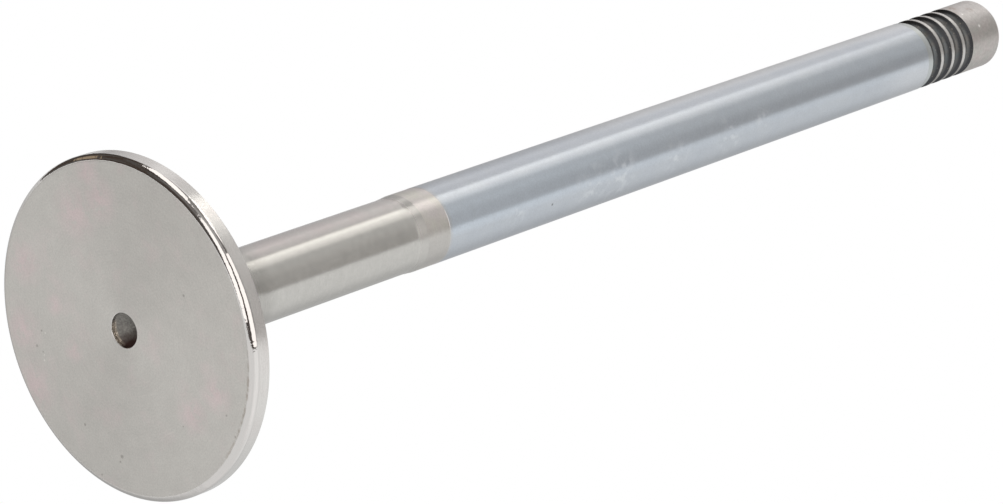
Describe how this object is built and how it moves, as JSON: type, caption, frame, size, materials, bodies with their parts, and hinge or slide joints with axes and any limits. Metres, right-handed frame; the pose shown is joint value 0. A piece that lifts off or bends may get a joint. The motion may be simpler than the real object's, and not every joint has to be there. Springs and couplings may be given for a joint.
{
  "type": "engine poppet valve",
  "caption": "Poppet valve with a flat head, conical seat, plated stem and round-bottomed collet grooves; opens and closes a gas port in a piston engine.",
  "frame": {"origin": "centre of the head's flat face, which is the valve's lowest plane when it stands on its head", "axes": "+Z along the stem, from the head towards the tip; the valve is round, so +X and +Y are any two directions across it"},
  "size_m": [0.0414, 0.0414, 0.1745],
  "materials": {
    "valve_steel": "satin ground steel; the guide length of the stem is hard chrome plated, the collet grooves are dark"
  },
  "bodies": {
    "root": {"valve": "valve_steel"}
  },
  "joints": []
}
